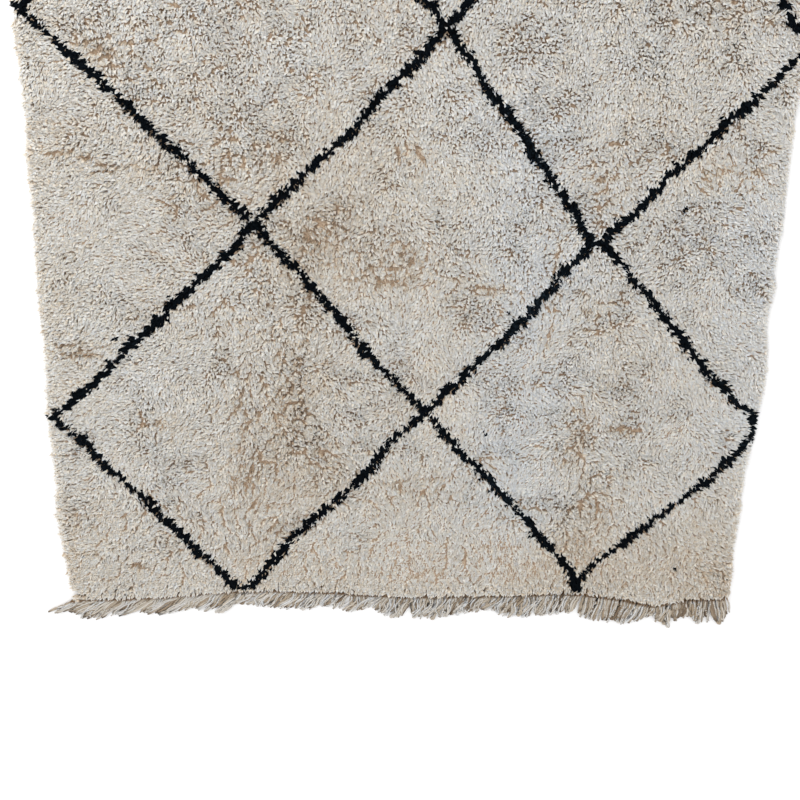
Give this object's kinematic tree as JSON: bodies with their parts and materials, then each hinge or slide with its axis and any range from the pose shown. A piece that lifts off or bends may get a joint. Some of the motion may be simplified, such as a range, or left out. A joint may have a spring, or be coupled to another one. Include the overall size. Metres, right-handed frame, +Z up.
{
  "type": "shaggy wool rug",
  "caption": "Thick hand-knotted wool rug with a cream pile, an open lattice of thin dark lines and a short yarn fringe along one end, lying flat.",
  "frame": {"origin": "middle of the whole rug's footprint, fringe included, on the floor", "axes": "+X across the rug, to the right when the fringed end is nearest; +Y along the rug from the fringed end to the plain end; +Z up out of the pile"},
  "size_m": [1.6638, 2.6184, 0.024],
  "materials": {
    "cream_wool_pile": "matte hand-spun cream wool pile with warm beige depths",
    "undyed_yarn": "matte undyed wool yarn, loosely plied"
  },
  "bodies": {
    "root": {"rug": "cream_wool_pile", "fringe": "undyed_yarn"}
  },
  "joints": []
}
